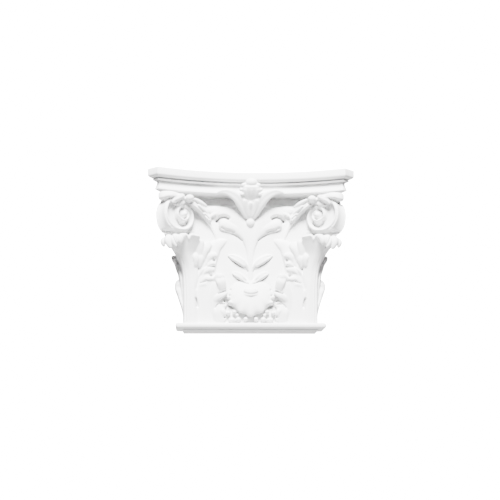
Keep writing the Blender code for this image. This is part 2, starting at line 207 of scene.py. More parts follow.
def spline(values, share):
    """Smooth values at shares of the way along evenly spaced values."""
    values = np.asarray(values, float)
    if values.ndim == 1:
        return spline(values[:, None], share)[:, 0]
    last = len(values) - 1
    along = np.clip(share, 0, 1) * last
    index = np.minimum(along.astype(int), last - 1)
    step = (along - index)[:, None]
    before = values[np.maximum(index - 1, 0)]
    after = values[np.minimum(index + 2, last)]
    return ease(before, values[index], values[index + 1], after, step)


def unit(vectors):
    return vectors / np.maximum(np.linalg.norm(vectors, axis=1, keepdims=True), 1e-9)


def world(points):
    """Turns (across, out from the wall, up) in millimetres into the model's metres."""
    points = np.asarray(points, float)
    return np.stack([points[:, 0] * MM, WALL_Y - points[:, 1] * MM, points[:, 2] * MM], axis=1)


def bump(distance, width):
    return np.exp(-(distance / width) ** 2)


def end_fade(share, ends):
    """Rounds off both ends of a swept form."""
    fade = np.ones_like(share)
    for reach, distance in ((ends[0], share), (ends[1], 1 - share)):
        if reach > 0:
            near = np.clip(distance / reach, 0, 1)
            fade *= np.sqrt(np.clip(1 - (1 - near) ** 2, 0, 1))
    return fade


def lobe(path, widths, rises, sink=6.0, facing=FRONT, ends=(0.12, 0.15), under=0.35, square=1.0, groove=0.0,
         groove_width=0.2, tilt=0.0, scallops=0, scallop_depth=0.1, rings=30, segments=28):
    """One carved form: a sphere swept along a path, with a width and a rise at each place."""
    deselect_all()
    bpy.ops.mesh.primitive_uv_sphere_add(segments=segments, ring_count=rings, radius=1)
    piece = bpy.context.object
    sphere = points_of(piece)
    share = np.arccos(np.clip(sphere[:, 2], -1, 1)) / math.pi
    turn = np.arctan2(sphere[:, 1], sphere[:, 0])
    across = np.cos(turn)
    lift = np.sin(turn)
    route = world(path)
    tangent = unit(spline(route, np.clip(share + 0.01, 0, 1)) - spline(route, np.clip(share - 0.01, 0, 1)))
    facing = np.atleast_2d(np.asarray(facing, float))
    if len(facing) == 1:
        facing = np.repeat(facing, 2, axis=0)
    outward = spline(facing, share)
    outward = unit(outward - tangent * np.sum(outward * tangent, axis=1, keepdims=True))
    sideways = np.cross(tangent, outward)
    fade = end_fade(share, ends)
    edge = np.sign(across) * np.abs(across) ** square
    flank = np.where(lift < 0, 1 - under * lift ** 2, 1)
    scallop = 1 + scallop_depth * np.cos(share * scallops * 2 * math.pi) if scallops else 1
    wide = edge * flank * spline(widths, share) * fade * scallop
    rise = spline(rises, share) * fade
    top = np.clip(lift, 0, 1)
    high = np.where(lift > 0, np.abs(lift) ** square * rise, lift * sink * fade)
    high = high - groove * bump(edge, groove_width) * top * fade + tilt * edge * top * fade
    centre = spline(route, share)
    set_points(piece, centre + (sideways * wide[:, None] + outward * high[:, None]) * MM)
    return piece


def ball(centre, radii, rings=16, segments=20):
    deselect_all()
    place = world([centre])[0]
    bpy.ops.mesh.primitive_uv_sphere_add(segments=segments, ring_count=rings, radius=1)
    piece = bpy.context.object
    set_points(piece, points_of(piece) * np.array(radii) * MM + place)
    return piece


def sheet(name, shape, thickness):
    """Curved wall: a flat grid laid on a surface and thickened by a modifier towards its inside."""
    deselect_all()
    bpy.ops.mesh.primitive_grid_add(x_subdivisions=110, y_subdivisions=90, size=2)
    piece = bpy.context.object
    flat = points_of(piece)
    across = flat[:, 0]
    up = (flat[:, 1] + 1) / 2
    set_points(piece, shape(across, up))
    apply_modifier(piece, "SOLIDIFY", thickness=thickness, offset=1)
    piece.name = name
    return piece


def tensor(rows, across, up):
    """Point of a patch whose rows of control points are smooth both ways."""
    columns = [spline(world(row), across) for row in rows]
    grid = np.stack(columns, axis=1)
    last = len(rows) - 1
    along = np.clip(up, 0, 1) * last
    index = np.minimum(along.astype(int), last - 1)
    step = (along - index)[:, None]
    pick = np.arange(len(up))
    before = grid[pick, np.maximum(index - 1, 0)]
    after = grid[pick, np.minimum(index + 2, last)]
    return ease(before, grid[pick, index], grid[pick, index + 1], after, step)


def keep_carving(name, single, paired):
    """Joins the forms of one piece of carving, with a mirrored twin of every paired one."""
    pieces = []
    if paired:
        half = join_pieces(paired, name)
        apply_modifier(half, "MIRROR", use_mirror_merge=False)
        pieces.append(half)
    whole = join_pieces(pieces + single, name)
    whole["carving"] = True
    return whole


def raise_outline(name, levels):
    """Solid of an outline that is extruded from level to level: (height, outline) pairs."""
    deselect_all()
    height, outline = levels[0]
    bpy.ops.mesh.primitive_circle_add(vertices=len(outline), radius=1, fill_type="NGON")
    piece = bpy.context.object
    place_ring(piece, range(len(outline)), outline, height)
    bpy.ops.object.mode_set(mode="EDIT")
    bpy.ops.mesh.select_all(action="SELECT")
    for height, outline in levels[1:]:
        bpy.ops.mesh.extrude_region_move(TRANSFORM_OT_translate={"value": (0, 0, 0.01)})
        bpy.ops.object.mode_set(mode="OBJECT")
        chosen = [vertex.index for vertex in piece.data.vertices if vertex.select]
        place_ring(piece, chosen, outline, height)
        bpy.ops.object.mode_set(mode="EDIT")
    bpy.ops.mesh.select_all(action="SELECT")
    bpy.ops.mesh.normals_make_consistent(inside=False)
    bpy.ops.object.mode_set(mode="OBJECT")
    piece.name = name
    return piece


def drop_slivers(piece, reach=0.00002):
    """Closes up faces without area and drops the stray ones that thinning leaves beside a piece."""
    select_only([piece])
    bpy.ops.object.mode_set(mode="EDIT")
    bpy.ops.mesh.select_all(action="SELECT")
    bpy.ops.mesh.remove_doubles(threshold=reach)
    bpy.ops.mesh.dissolve_degenerate(threshold=reach)
    bpy.ops.mesh.quads_convert_to_tris()
    bpy.ops.object.mode_set(mode="OBJECT")
    bpy.ops.mesh.separate(type="LOOSE")
    loose = sorted(bpy.context.selected_objects, key=lambda part: len(part.data.polygons))
    kept = loose.pop()
    for stray in loose:
        bpy.data.objects.remove(stray)
    kept.name = "white_casting"
    return kept


def place_ring(piece, chosen, outline, height):
    for index, (x, depth) in zip(chosen, outline):
        piece.data.vertices[index].co = (x, WALL_Y - depth, height)


# Outlines of the mouldings

def abacus_outline(sizes, inset, steps=48):
    """Plan of the abacus, set in all round: hollow front and sides, cut horns."""
    radius = (sizes.horn_x ** 2 + sizes.abacus_sag ** 2) / (2 * sizes.abacus_sag)
    grown = radius + inset
    front_centre = sizes.horn_depth - sizes.abacus_sag + radius
    cut = sizes.horn_x + sizes.horn_depth - inset * math.sqrt(2)
    side_x = sizes.horn_x + sizes.horn_chamfer - sizes.abacus_sag + radius
    side_depth = sizes.horn_depth - sizes.horn_chamfer - sizes.horn_x
    gap = cut - front_centre
    front_end = (gap + math.sqrt(2 * grown ** 2 - gap ** 2)) / 2
    reach = cut - side_depth
    side_end = (side_x + reach - math.sqrt(2 * grown ** 2 - (side_x - reach) ** 2)) / 2
    side_top = cut - side_end
    half = []
    for step in range(steps // 4 + 1):
        depth = side_top * step / (steps // 4)
        half.append((side_x - math.sqrt(grown ** 2 - (depth - side_depth) ** 2), depth))
    front = []
    for step in range(steps + 1):
        x = front_end * (1 - 2 * step / steps)
        front.append((x, front_centre - math.sqrt(grown ** 2 - x ** 2)))
    return half + front + [(-x, depth) for x, depth in reversed(half)]


def abacus_levels(sizes):
    """Profile of the abacus from the top down: fascia, round, groove, fillet, groove, lower member."""
    profile = [(0.0, 0.9), (0.6, 0.15), (1.2, 0.0), (9.2, 0.0)]
    for step in range(1, 8):
        turn = math.radians(90 * step / 7)
        profile.append((9.2 + 4.4 * math.sin(turn), 5.4 * (1 - math.cos(turn))))
    groove_and_fillet = [(13.9, 10.0), (15.2, 10.2), (15.4, 6.9), (15.7, 6.5), (17.4, 6.5), (17.6, 6.9)]
    second_groove = [(17.8, 12.2), (19.3, 12.4)]
    lower_member = [(19.5, 11.4), (21.5, 11.6), (24.0, 11.1), (27.0, 10.2), (29.8, 9.2), (31.0, 9.3),
                    (31.6, 10.2)]
    profile += groove_and_fillet + second_groove + lower_member
    return [(TOP - drop * MM, abacus_outline(sizes, inset * MM)) for drop, inset in profile]


def neck_outline(sizes, out):
    """Plan of the foot: the neck's rectangle grown by a projection, with soft corners."""
    side = sizes.neck_width / 2 + out
    face = sizes.neck_depth + out
    corner = max(0.0015 + out * 0.12, 0.001)
    half = [(side, 0.0)]
    for step in range(6):
        turn = math.radians(18 * step)
        half.append((side - corner * (1 - math.cos(turn)), face - corner * (1 - math.sin(turn))))
    return half + [(-x, depth) for x, depth in reversed(half)]


def foot_levels(sizes):
    half_round = sizes.astragal_height / 2
    straight = sizes.astragal_out - half_round
    groove = sizes.seat_height - 0.0007
    profile = [(0.0, -0.0004), (0.0005, 0.0), (groove - 0.0002, sizes.seat_flare), (groove, -0.0005),
               (sizes.seat_height - 0.0001, 0.0)]
    for step in range(1, 12):
        turn = math.pi * step / 12
        height = sizes.seat_height + half_round * (1 - math.cos(turn))
        profile.append((height, straight + half_round * math.sin(turn) ** 0.7))
    top = sizes.seat_height + sizes.astragal_height
    profile += [(top, straight), (top + 0.0002, 0.004), (top + 0.0008, 0.0012), (top + 0.002, -0.001),
                (top + 0.0044, -0.0035)]
    return [(height, neck_outline(sizes, out)) for height, out in profile]


def bell_outline(side, face, behind=0.003, corner=0.008):
    half = [(side, -behind)]
    for step in range(8):
        turn = math.radians(90 * step / 7)
        half.append((side - corner * (1 - math.cos(turn)), face - corner * (1 - math.sin(turn))))
    return half + [(-x, depth) for x, depth in reversed(half)]


def bell_levels(sizes):
    profile = [(sizes.seat_height / MM, 0, 0), (74, 0, 0), (132, 2, 0), (164, 4.5, 0), (190, 6.7, 0),
               (192.5, 7, -2.5), (194.5, 7.2, -9), (197, 7.3, -20), (212, 8, -24)]
    return [(height * MM, bell_outline(sizes.bell_side + out * MM, sizes.bell_face + face * MM))
            for height, out, face in profile]


# Carving, in millimetres across, out from the wall and up from the seat

def carve_stem_leaves():
    stem = [(0, 32, 60), (0, 32.5, 95), (0, 33, 130), (0, 34, 160)]
    single = [lobe(stem, [3.2, 3.6, 5, 6.6], [2, 2, 1.8, 1.8], sink=4, square=0.6, ends=(0.1, 0.02),
                   rings=40)]
    single.append(ball((0, 36.5, 165.6), (6.4, 4.6, 6.4), rings=24, segments=28))
    single.append(ball((0, 28, 180), (26, 8, 14)))
    paired = []
    lower = [(4, 32.5, 73.5), (11, 34, 79), (17, 34.5, 83.6), (22, 34, 86.4), (27.5, 33, 88.4)]
    middle = [(3, 32.5, 92), (7, 33.5, 98.5), (12, 34.3, 104), (19, 34.6, 108.6), (26, 34, 112.4),
              (33.6, 33, 115)]
    for path, widths in ((lower, [1.8, 4.2, 4.9, 4, 1]), (middle, [1.8, 3.8, 5.2, 5.6, 4.4, 0.9])):
        paired.append(lobe(path, widths, [1.5, 3.4, 3.8, 3.4, 1.2], sink=6, groove=2.2, groove_width=0.34,
                           tilt=0.5, ends=(0.1, 0.04), under=0.4, rings=44, segments=36))
        vein = [(x, d + 1.6, z) for x, d, z in path[1:-1]]
        paired.append(lobe(vein, [0.8, 1.3, 0.9], [1, 1.5, 1], sink=3))
    leaf = [(1.5, 32, 108), (4, 32.5, 128), (8, 33, 144), (15, 33, 158), (25, 33, 169), (36, 33, 175),
            (50, 33, 182.5), (66, 32, 185)]
    paired.append(lobe(leaf, [1.6, 3.4, 7, 13, 17, 16.5, 8.5, 3.5], [1.5, 2.4, 3.2, 4, 5, 5, 4.5, 2],
                       sink=8, ends=(0.06, 0.1), under=0.3, square=0.85, rings=70, segments=44))
    bulb = [(3.5, 32, 124), (9, 32.5, 141), (18, 33, 151.5), (28, 34, 157.5), (38, 34.5, 161.2),
            (47, 34.5, 165)]
    paired.append(lobe(bulb, [1.5, 4, 6.8, 8, 8.8, 7.6], [1.5, 2.6, 4, 5, 5.2, 4.4], sink=7,
                       ends=(0.06, 0.14), tilt=-0.4, under=0.2, rings=50, segments=36))
    for x, z, size in ((50, 179.5, 1.8), (54.5, 178, 2.0), (59, 175.5, 2.0)):
        paired.append(lobe([(x - 1.5, 34.5, z + 3), (x + 0.5, 36.5, z), (x + 2, 35, z - 4)],
                           [size * 0.8, size, size * 0.6], [1.6, 2, 1.4]))
    return keep_carving("stem_leaves", single, paired)


def carve_calyx():
    single = [lobe([(0, 36, 169.5), (0, 40, 177), (0, 44.5, 186), (0, 48, 196), (0, 50, 203)],
                   [5, 9, 12, 14, 15], [2, 3, 3.5, 3, 2], sink=16, ends=(0.12, 0.12), under=0.5, rings=44,
                   segments=40)]
    paired = [lobe([(2, 40, 173), (5.5, 45, 182), (8, 49.5, 190), (9, 53.5, 197.5)], [2.4, 4, 4.2, 2.8],
                   [1.6, 2, 2.2, 2], sink=7)]
    single.append(lobe([(0, 42, 180), (0, 47.5, 187), (0, 52, 194)], [1.6, 3, 2.4], [1.6, 2.2, 2], sink=6))
    low_front = (0, -1, -0.35)
    leaf = [(3, 37, 171), (8, 42.5, 181), (13, 47.5, 191), (20, 51.5, 200), (29, 53.5, 206),
            (39, 53.5, 209.3), (51, 51, 208.3)]
    paired.append(lobe(leaf, [3.6, 6.4, 8.2, 7.8, 6.2, 4.2, 0.9], [3, 3.6, 4, 3.8, 3.2, 2.4, 1], sink=12,
                       facing=low_front, ends=(0.06, 0.03), groove=0.7, groove_width=0.3, under=0.3,
                       square=0.85, rings=60, segments=40))
    return keep_carving("calyx", single, paired)


def carve_fleuron():
    cup = [(0.6, 44, 196), (0.6, 51, 203), (0.6, 58, 211), (0.6, 62, 217)]
    low_front = (0, -0.7, -0.7)
    single = [lobe(cup, [8, 12, 14, 11], [3, 4, 4, 3], sink=8, facing=low_front, square=0.8,
                   ends=(0.2, 0.12), rings=44, segments=44)]
    for x in (-8.5, 0.6, 9.7):
        flute = [(x * 0.6, 47, 198), (x * 0.85, 55, 205), (x, 61.5, 213)]
        single.append(lobe(flute, [2.4, 3.8, 3.6], [2.6, 3.4, 2.6], sink=4, facing=low_front, rings=26))
    single.append(ball((0.6, 60, 222.6), (9.0, 6, 6.6)))
    shoulder = [(5, 50, 219), (9, 57, 219.5), (12, 60, 218)]
    paired = [ball((11.5, 60, 217.8), (3.4, 3.6, 3.2)), ball((15.2, 58.5, 211.4), (2.7, 3, 3)),
              lobe(shoulder, [4, 4, 3], [3, 3, 2.4], facing=(0, -0.3, 1)),
              ball((13.5, 56.5, 204.5), (2.6, 3, 2.4))]
    return keep_carving("fleuron", single, paired)


def carve_flower(petals=12):
    """Domed flower at the foot: it swells out of the bell and its petals end over a row of beads."""
    deselect_all()
    bpy.ops.mesh.primitive_uv_sphere_add(segments=128, ring_count=64, radius=1)
    dome = bpy.context.object
    x, y, z = points_of(dome).T
    turn = np.arctan2(z, x) + math.pi / 2
    low = np.clip(-z, 0, 1)
    rim = np.hypot(x, z)
    flutes = np.cos(petals * turn) * low * rim ** 3
    front = np.where(y < 0, 11.0, 4.0)
    reach = np.where(z < 0, 36 + flutes * 1.4, 34)
    squared = bump(np.abs(x) - 0.6, 0.3) * low * 2.5
    across = x * (33.5 + flutes * 1.4)
    up = 58 + z * reach + squared
    out = 30.5 - y * front - z * 10 + flutes * 1.3 * (y < 0)
    set_points(dome, world(np.stack([across, out, up], axis=1)))
    single = [dome]
    knop = (([(-10.5, 41, 61), (0, 44, 59.2), (10.5, 41, 61)], [3, 4.2, 3], [1.8, 2.4, 1.8]),
            ([(-10.5, 41, 56.6), (0, 43.6, 54.8), (10.5, 41, 56.6)], [2.6, 3.2, 2.6], [1, 1.5, 1]))
    for path, widths, rises in knop:
        single.append(lobe(path, widths, rises, facing=(0, -1, 0.25), under=0.1, ends=(0.2, 0.2), square=0.6))
    paired = []
    beads = ((7.8, 17.8, 3.4, 3.4), (18.6, 17.2, 4.2, 3.8), (28.5, 16.6, 5.4, 4), (24.6, 28.5, 3.2, 3),
             (33.2, 27, 3.2, 3), (20.5, 23.6, 2.6, 2.4), (30.8, 42.5, 3.4, 3.6), (33.4, 50.6, 2.8, 2.8))
    for side, height, wide, high in beads:
        paired.append(ball((side, 36.5, height), (wide, 5, high)))
    return keep_carving("flower", single, paired)


def carve_inner_leaves():
    tall = [(66, 30.5, 10), (67.5, 31, 35), (68, 31.5, 60), (67, 32, 80), (64, 32, 98), (60, 32.5, 114),
            (54, 32.5, 127), (45, 32.5, 134), (35, 31.5, 139)]
    paired = [lobe(tall, [18, 18, 17, 15, 12, 11.5, 10, 6.5, 1.4],
                   [4.6, 5, 5.4, 5.6, 5.4, 5.4, 4.6, 3.4, 1.4], sink=8, ends=(0.02, 0.06), square=0.85,
                   rings=90, segments=44)]
    short = [(49, 30.5, 10), (52, 32, 30), (53, 33.5, 48), (51, 35, 64), (48, 36, 77)]
    paired.append(lobe(short, [11, 11, 10, 9, 7], [4, 4.6, 5, 5, 4], sink=9, ends=(0.02, 0.16), square=0.85,
                       rings=60, segments=40))
    folds = (
        ([(55, 34.5, 75), (51, 39, 80), (45.5, 42, 82), (39.5, 39.5, 78.5)], [3.4, 4.6, 4.4, 2.6],
         [3, 3.6, 3.4, 2.4]),
        ([(49, 40.5, 80), (44.5, 43, 73), (41.5, 38, 61)], [5.4, 7, 5.6], [2.4, 2.8, 2.4]),
        ([(56, 34, 43), (50, 38, 49.5), (42, 40.5, 54), (34, 38, 58.5)], [4, 4.6, 4, 1.2],
         [3, 3.4, 3, 1.6]),
        ([(54, 32, 42), (50, 35, 36.5), (46.5, 36.5, 27), (46, 34, 13)], [3.5, 8, 9.5, 9],
         [1.6, 2.4, 2.6, 2]),
        ([(46, 33, 43), (41.5, 35, 40), (38, 34, 36)], [4, 5, 4], [2, 2.4, 2]),
        ([(45, 37.5, 33), (41, 38.5, 29), (39.5, 37, 22)], [2.6, 3.4, 2.4], [1.6, 2.2, 1.6]),
        ([(67, 33, 104), (62, 36.5, 111.5), (56, 38, 115), (50.5, 36.5, 113.5)], [4, 4.6, 4, 2.4],
         [2.4, 3, 2.8, 2]),
        ([(67, 34, 98.5), (61.5, 36.5, 101.5), (56, 37, 102.5), (52.5, 35.5, 100.5)], [2.8, 3.2, 2.6, 1.6],
         [2.2, 2.8, 2.6, 2]),
        ([(77, 33, 82), (70.5, 36.5, 90), (62, 38, 93.5), (54, 36.5, 93)], [3.4, 4.4, 4.4, 2.6],
         [2.4, 3, 2.8, 2]),
        ([(75, 33.5, 74), (67, 36.5, 79), (60.5, 37.5, 79.5), (55, 36, 80)], [3, 3.8, 3.2, 2],
         [2.2, 3, 2.6, 2]),
        ([(80, 32, 58), (76, 34.5, 68), (70, 36, 71.5), (64, 35, 68)], [3.4, 4.4, 4.2, 2.6],
         [2, 2.6, 2.4, 1.8]),
        ([(74, 35, 103), (72, 38.5, 117), (66, 39.5, 128), (59, 36, 132)], [5, 7, 7, 4], [3, 4, 3.6, 2]),
    )
    for path, widths, rises in folds:
        paired.append(lobe(path, widths, rises, sink=9, under=0.4, tilt=-0.3, square=0.85, rings=40,
                           segments=32))
    return keep_carving("inner_leaves", [], paired)


CORNER_ROWS = (
    ((98.5, 36, 12), (90, 38.5, 12), (83, 38, 12), (76.5, 33, 12)),
    ((98.8, 36.4, 38), (90.5, 38.8, 38), (84, 38.4, 38), (79, 33.6, 38)),
    ((99.2, 37.0, 66), (91, 39.6, 66), (85, 39.2, 66), (79, 34.6, 66)),
    ((101, 39.5, 92), (94, 41.6, 92), (88, 41.2, 92), (80.5, 36, 92)),
    ((107, 47, 111), (99, 49.5, 112), (91.5, 48, 113), (83, 40, 113)),
    ((117, 56, 123), (105.5, 59, 127), (93, 58, 129), (79, 46, 128)),
    ((127, 64.5, 130), (112, 67, 137.5), (93.5, 66, 140.5), (75.5, 53, 140)),
)


def corner_surface(across, up, sizes):
    """Outside of the corner leaf: the front half, and the same turned about the corner for the side."""
    inner = np.abs(across)
    notch = 0.11 * bump(inner - 0.68, 0.045) + 0.04 * bump(inner - 0.42, 0.03)
    notch = notch + 0.04 * np.clip((inner - 0.95) / 0.05, 0, 1) ** 2
    point = tensor(CORNER_ROWS, inner, up * (1 - notch * up ** 4))
    swell = bump(inner, 0.05) * 0.9 + bump(inner - 0.16, 0.035) * 0.8 - bump(inner - 0.09, 0.03) * 0.6
    swell = swell - 1.1 * bump(inner - 0.62, 0.08) * np.clip(up * 1.6 - 0.6, 0, 1)
    swell = swell + 1.6 * np.clip(up * 12 - 11, 0, 1)
    point[:, 1] -= swell * MM * np.clip(1.2 - up * 0.4, 0, 1)
    corner = sizes.neck_width / 2 + WALL_Y - sizes.neck_depth - 3.5 * MM
    turned = point.copy()
    turned[:, 0] = corner - point[:, 1]
    turned[:, 1] = corner - point[:, 0]
    return np.where((across < 0)[:, None], turned, point)


def carve_corner_leaf(sizes):
    leaf = sheet("corner_leaf", lambda across, up: corner_surface(across, up, sizes), sizes.leaf_thickness)
    paired = [leaf]
    behind = ([(90, 34, 8), (89, 34, 45), (88, 35, 80), (87, 37, 104)], [9, 9, 9, 7], [3, 3, 3, 3])
    edge = ([(78, 33, 96), (79, 37, 110), (77, 42, 124), (73, 45, 137)], [5, 6.5, 6, 3.5], [3, 3.6, 3.6, 3])
    for path, widths, rises in (behind, edge):
        paired.append(lobe(path, widths, rises, sink=12, square=0.7, rings=40))
    cluster = (
        ((87, 40, 118), (83.5, 42.5, 113), (82, 42, 106), (83, 38.5, 96), 3.6, 4.6, 2.6),
        ((79.5, 38, 117), (75.5, 40, 112), (75, 39.5, 105), (77, 36, 95), 3.2, 4.2, 2.4),
    )
    for *path, start, middle, end in cluster:
        paired.append(lobe(path, [start, middle, end], [2.2, 3, 2], sink=14, square=0.8, tilt=-0.4))
    return keep_carving("corner_leaf", [], paired)


def carve_toes():
    paired = []
    toes = (((125, 58, 132), (129, 64, 133), (131.5, 66.5, 129), (129, 65, 121.5), 3.4),
            ((116, 60, 135), (122, 67, 136), (124, 71, 130), (119.5, 69, 118.5), 4.8),
            ((108, 60, 137), (112.5, 68.5, 137), (115, 72, 131.5), (112.5, 70.5, 121), 4.8),
            ((100, 60, 138), (103.5, 68, 137.5), (105.5, 71, 133), (105, 69.5, 125.5), 4.4))
    for *path, size in toes:
        paired.append(lobe(path, [size, size * 1.05, size, size * 0.75], [3, 3.8, 3.6, 2.8], sink=7,
                           facing=[(0, -0.5, 1), (0, -1, 0.4), (0, -1, -0.2)], ends=(0.2, 0.25), under=0.1))
    return keep_carving("toes", [], paired)


SCROLL = (0.76, 1.0, 0.72, 0.48, 0.39, 0.41, 0.31, 0.25, 0.2)


def scroll_radius(quarters, sizes):
    return sizes.volute_reach / MM * spline(SCROLL, np.asarray(quarters, float) / (len(SCROLL) - 1))


def carve_volute(sizes):
    """Diagonal scroll: raised spiral rim, hollow channel and a round eye that stands out."""
    deselect_all()
    bpy.ops.mesh.primitive_uv_sphere_add(segments=128, ring_count=120, radius=1)
    scroll = bpy.context.object
    grid = points_of(scroll)
    share = np.arccos(np.clip(grid[:, 2], -1, 1)) / math.pi
    turn = np.arctan2(grid[:, 1], grid[:, 0])
    quarters = np.mod(turn, 2 * math.pi) / (math.pi / 2)
    face = 0.45
    front = np.clip(share / face, 0, 1)
    back = np.clip((1 - share) / face, 0, 1)
    side = np.clip((share - face) / (1 - 2 * face), 0, 1)
    rim = scroll_radius(quarters, sizes)
    second = scroll_radius(quarters + 4, sizes)
    reach = np.where(share < 0.5, front, back)
    radius = rim * reach
    half = sizes.volute_width / 2 / MM
    height = half - 8.5 + 1.5 * (1 - reach)
    for ridge, raised, width in ((rim, 8.5, 3.2), (second, 8.0, 2.4)):
        height = height + raised * np.exp(-np.abs((radius - (ridge - width * 0.9)) / width) ** 3)
    height = np.maximum(height, (half + 2.0) * (1 - (radius / 8.0) ** 2))
    height = np.where(share < 0.5, height, -height)
    flat = (share > face) & (share < 1 - face)
    height = np.where(flat, half * (1 - 2 * side), height)
    flare = 4.5 * bump(quarters - 1, 0.6) + 9 * bump(quarters - 1.5, 0.34)
    radius = np.where(flat, rim + flare * side - 1.6 * np.sin(side * math.pi) ** 2, radius)
    radius = np.where(share >= 1 - face, (rim + flare) * reach, radius)
    outward = np.array([math.cos(sizes.volute_turn), -math.sin(sizes.volute_turn), 0])
    axis = np.array([-math.sin(sizes.volute_turn), -math.cos(sizes.volute_turn), 0])
    centre = world([(104, 45, 175)])[0]
    angle = quarters * math.pi / 2
    offset = outward * (np.sin(angle) * radius)[:, None] + axis * height[:, None]
    offset[:, 2] = np.cos(angle) * radius
    set_points(scroll, centre + offset * MM)
    bpy.ops.object.mode_set(mode="EDIT")
    bpy.ops.mesh.select_all(action="SELECT")
    bpy.ops.mesh.normals_make_consistent(inside=False)
    bpy.ops.object.mode_set(mode="OBJECT")
    path = [(46, 31.5, 126), (53, 32.5, 145), (61.5, 36, 163), (72.5, 43, 179), (87, 50, 191),
            (102, 52.5, 197)]
    towards = [FRONT, (-0.1, -1, 0), (-0.3, -0.9, 0), (-0.5, -0.85, 0), (-0.616, -0.788, 0)]
    stalk = lobe(path, [1.1, 1.5, 1.9, 2.4, 3.2, 4.8], [1.2, 1.6, 2, 2.4, 3, 3.4], sink=12, facing=towards,
                 groove=1.2, groove_width=0.4, ends=(0.06, 0.08), square=0.6, under=0.1, rings=56,
                 segments=36)
    return keep_carving("volutes", [], [scroll, stalk])


def carve_husks():
    paired = []
    blade = [(138, 68, 197.5), (131, 72, 198.5), (120, 70.5, 200.5), (108, 64, 199.5), (97, 56, 197)]
    paired.append(lobe(blade, [5.2, 6.2, 4.6, 3.6, 2.6], [2.4, 3.4, 3.6, 3.2, 2], sink=6,
                       facing=(0, -1, -0.1), tilt=-1.5, ends=(0.05, 0.12), square=0.85, rings=44))
    knot = [(100, 62, 201), (107, 66, 198), (114, 67.5, 193), (118, 67, 188)]
    paired.append(lobe(knot, [2.6, 4.2, 3.6, 1.6], [2.6, 3.6, 3, 2], ends=(0.15, 0.08), sink=10, groove=0.8))
    paired.append(ball((92, 58.5, 198), (6.2, 5.4, 5)))
    husks = (([(86, 52, 198.5), (79, 49.5, 195), (71.5, 46, 191), (65.5, 42, 187.5)], 1.8, 3, 1.4),
             ([(80, 50, 189.5), (74, 47, 185), (68.5, 43.5, 180.5), (65, 41, 177)], 1.4, 2.4, 1.4),
             ([(71.5, 44, 178.5), (67, 42.5, 174), (62.5, 40.5, 169), (59.5, 38, 165)], 1.8, 3, 1.4))
    for path, start, middle, end in husks:
        paired.append(lobe(path, [start, middle, end], [2.4, 3.6, 2], sink=10, under=0.5, tilt=0.4))
    mass = [(86, 25, 152), (102, 35, 152), (118, 44, 150), (130, 51, 146)]
    paired.append(lobe(mass, [7, 8, 7, 4], [3, 3, 3, 2], sink=18, facing=(0, 0, 1), under=0.2))
    web = [(90, 12, 210), (106, 24, 210), (122, 36, 210), (134, 45, 210)]
    paired.append(lobe(web, [8, 9, 8, 6], [3, 3, 3, 3], sink=10, facing=(0, 0, 1), under=0.2))
    paired.append(ball((108, 57, 191), (9, 5, 5.5)))
    return keep_carving("husks", [], paired)


def carve_side_leaves():
    """Half leaves on the narrow sides, whose curls show in the outline."""
    paired = []
    tall = [(96, 13, 10), (99.5, 17, 40), (103.5, 19, 70), (107, 18, 90), (111.5, 14, 103), (117, 14, 112),
            (118.5, 14, 118)]
    paired.append(lobe(tall, [11, 12, 12, 11, 9, 7, 3], [2, 2.5, 3, 3, 3, 2.5, 1.6], sink=10,
                       facing=(1, 0, 0.2), groove=0.9, ends=(0.02, 0.1), rings=60, scallops=5,
                       scallop_depth=0.07))
    short = [(97, 21, 10), (101, 22, 34), (107, 21.5, 54), (111, 21, 66), (110.5, 21, 75), (106, 21, 79)]
    paired.append(lobe(short, [8, 8, 7.5, 7, 5, 3], [2, 2.5, 3, 3, 2.6, 2], sink=9, facing=(1, 0, 0.1),
                       groove=0.8, ends=(0.02, 0.14), rings=50, scallops=4, scallop_depth=0.08))
    return keep_carving("side_leaves", [], paired)


# Fine accents that are cut into the front: how deep, how wide and the places along each cut

